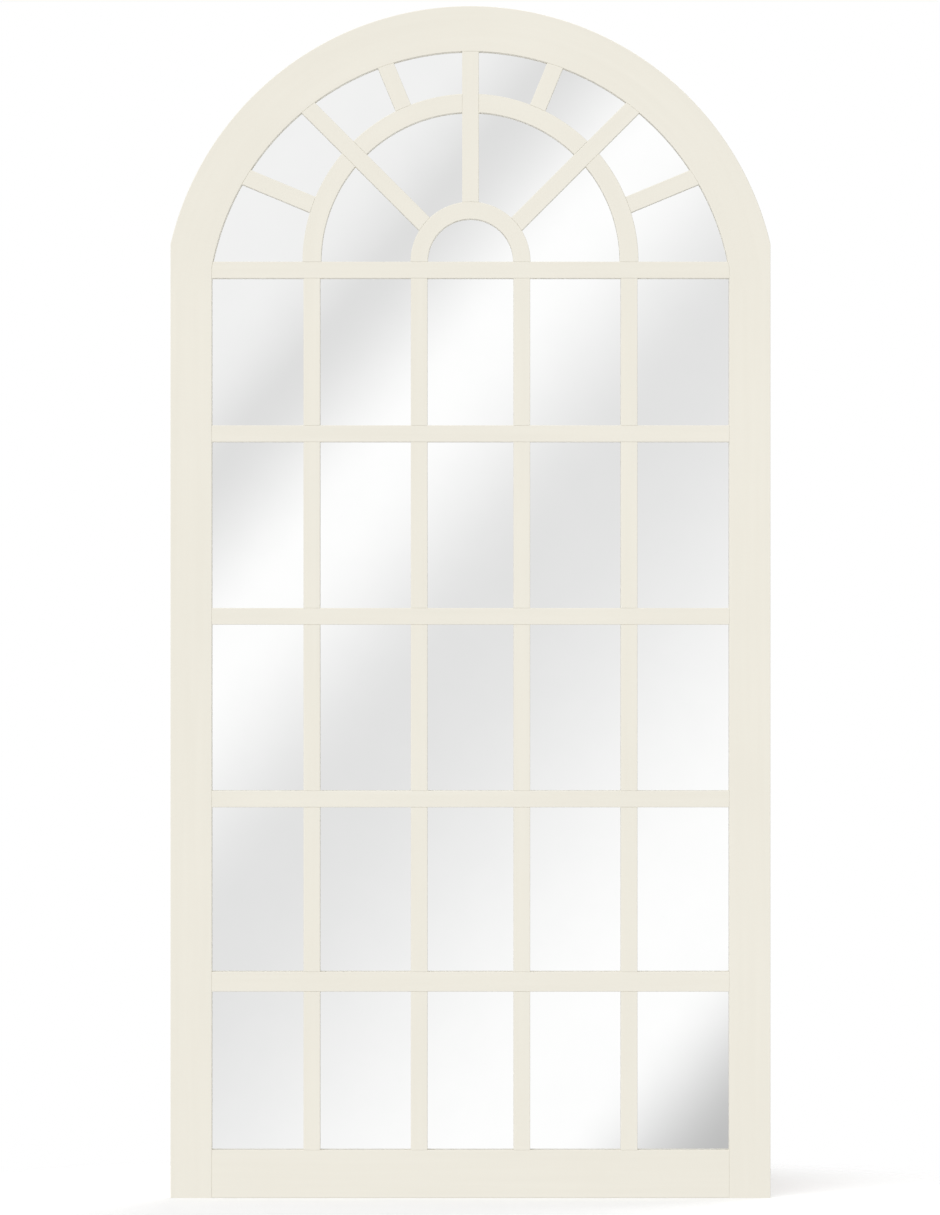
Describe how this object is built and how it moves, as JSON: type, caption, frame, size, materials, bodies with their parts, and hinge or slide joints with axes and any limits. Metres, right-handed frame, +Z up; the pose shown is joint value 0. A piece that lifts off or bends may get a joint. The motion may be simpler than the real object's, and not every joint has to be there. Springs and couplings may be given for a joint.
{
  "type": "arched window mirror",
  "caption": "Tall wall mirror made as an arched window: cream timber frame, square lights below a fan of curved bars and spokes, one mirror sheet behind, ring hangers on the back.",
  "frame": {"origin": "middle of the bottom edge, halfway through the depth of the frame", "axes": "+Z up along the height, +Y from the front face to the wall, +X to the right seen from the front"},
  "size_m": [0.9, 0.033, 1.788],
  "materials": {
    "cream_paint": "satin cream paint on timber",
    "dowel_beech": "bare beech",
    "mirror_silver": "silvered float glass",
    "liner_card": "plain card",
    "hardboard": "bare hardboard",
    "zinc_steel": "bright zinc plate",
    "bumper_rubber": "soft black rubber"
  },
  "bodies": {
    "frame": {"left_stile": "cream_paint", "right_stile": "cream_paint", "bottom_rail": "cream_paint", "head_left": "cream_paint", "head_crown": "cream_paint", "head_right": "cream_paint", "transom_bar": "cream_paint", "hub_ring": "cream_paint", "cross_bar_1": "cream_paint", "cross_bar_2": "cream_paint", "cross_bar_3": "cream_paint", "cross_bar_4": "cream_paint", "upright_bar_outer_left": "cream_paint", "upright_bar_inner_left": "cream_paint", "upright_bar_inner_right": "cream_paint", "upright_bar_outer_right": "cream_paint", "fan_ring_left_low": "cream_paint", "fan_ring_left_high": "cream_paint", "fan_ring_right_low": "cream_paint", "fan_ring_right_high": "cream_paint", "spoke_left": "cream_paint", "spoke_centre": "cream_paint", "spoke_right": "cream_paint", "short_spoke_left_low": "cream_paint", "short_spoke_left_high": "cream_paint", "short_spoke_right_high": "cream_paint", "short_spoke_right_low": "cream_paint", "crown_dowels": "dowel_beech", "foot_dowels": "dowel_beech", "mirror_glass": "mirror_silver", "card_liner": "liner_card", "backing_board": "hardboard", "left_hanger_strap": "zinc_steel", "right_hanger_strap": "zinc_steel", "button_screws": "zinc_steel", "hanger_screws": "zinc_steel", "wall_bumpers": "bumper_rubber"},
    "left_ring": {"left_hanger_ring": "zinc_steel"},
    "right_ring": {"right_hanger_ring": "zinc_steel"},
    "button_left_low": {"turn_button_left_low": "zinc_steel"},
    "button_left_mid": {"turn_button_left_mid": "zinc_steel"},
    "button_left_high": {"turn_button_left_high": "zinc_steel"},
    "button_rail_left": {"turn_button_rail_left": "zinc_steel"},
    "button_shoulder_left": {"turn_button_shoulder_left": "zinc_steel"},
    "button_crown_left": {"turn_button_crown_left": "zinc_steel"},
    "button_right_low": {"turn_button_right_low": "zinc_steel"},
    "button_right_mid": {"turn_button_right_mid": "zinc_steel"},
    "button_right_high": {"turn_button_right_high": "zinc_steel"},
    "button_rail_right": {"turn_button_rail_right": "zinc_steel"},
    "button_shoulder_right": {"turn_button_shoulder_right": "zinc_steel"},
    "button_crown_right": {"turn_button_crown_right": "zinc_steel"}
  },
  "joints": [
    {"name": "left_ring_swing", "type": "hinge", "parent": "frame", "child": "left_ring", "pos_m": [-0.425, 0.01608, 1.28], "axis": [-1, 0, 0], "range_deg": [0, 180]},
    {"name": "right_ring_swing", "type": "hinge", "parent": "frame", "child": "right_ring", "pos_m": [0.425, 0.01608, 1.28], "axis": [-1, 0, 0], "range_deg": [0, 180]},
    {"name": "button_left_low_turn", "type": "hinge", "parent": "frame", "child": "button_left_low", "pos_m": [-0.412, 0.0125, 0.26567], "axis": [0, 1, 0], "continuous": true},
    {"name": "button_left_mid_turn", "type": "hinge", "parent": "frame", "child": "button_left_mid", "pos_m": [-0.412, 0.0125, 0.653], "axis": [0, 1, 0], "continuous": true},
    {"name": "button_left_high_turn", "type": "hinge", "parent": "frame", "child": "button_left_high", "pos_m": [-0.412, 0.0125, 1.04033], "axis": [0, 1, 0], "continuous": true},
    {"name": "button_rail_left_turn", "type": "hinge", "parent": "frame", "child": "button_rail_left", "pos_m": [-0.238, 0.0125, 0.048], "axis": [0, 1, 0], "continuous": true},
    {"name": "button_shoulder_left_turn", "type": "hinge", "parent": "frame", "child": "button_shoulder_left", "pos_m": [-0.35839, 0.0125, 1.54123], "axis": [0, 1, 0], "continuous": true},
    {"name": "button_crown_left_turn", "type": "hinge", "parent": "frame", "child": "button_crown_left", "pos_m": [-0.10115, 0.0125, 1.73158], "axis": [0, 1, 0], "continuous": true},
    {"name": "button_right_low_turn", "type": "hinge", "parent": "frame", "child": "button_right_low", "pos_m": [0.412, 0.0125, 0.26567], "axis": [0, 1, 0], "continuous": true},
    {"name": "button_right_mid_turn", "type": "hinge", "parent": "frame", "child": "button_right_mid", "pos_m": [0.412, 0.0125, 0.653], "axis": [0, 1, 0], "continuous": true},
    {"name": "button_right_high_turn", "type": "hinge", "parent": "frame", "child": "button_right_high", "pos_m": [0.412, 0.0125, 1.04033], "axis": [0, 1, 0], "continuous": true},
    {"name": "button_rail_right_turn", "type": "hinge", "parent": "frame", "child": "button_rail_right", "pos_m": [0.238, 0.0125, 0.048], "axis": [0, 1, 0], "continuous": true},
    {"name": "button_shoulder_right_turn", "type": "hinge", "parent": "frame", "child": "button_shoulder_right", "pos_m": [0.35839, 0.0125, 1.54123], "axis": [0, 1, 0], "continuous": true},
    {"name": "button_crown_right_turn", "type": "hinge", "parent": "frame", "child": "button_crown_right", "pos_m": [0.10115, 0.0125, 1.73158], "axis": [0, 1, 0], "continuous": true}
  ]
}
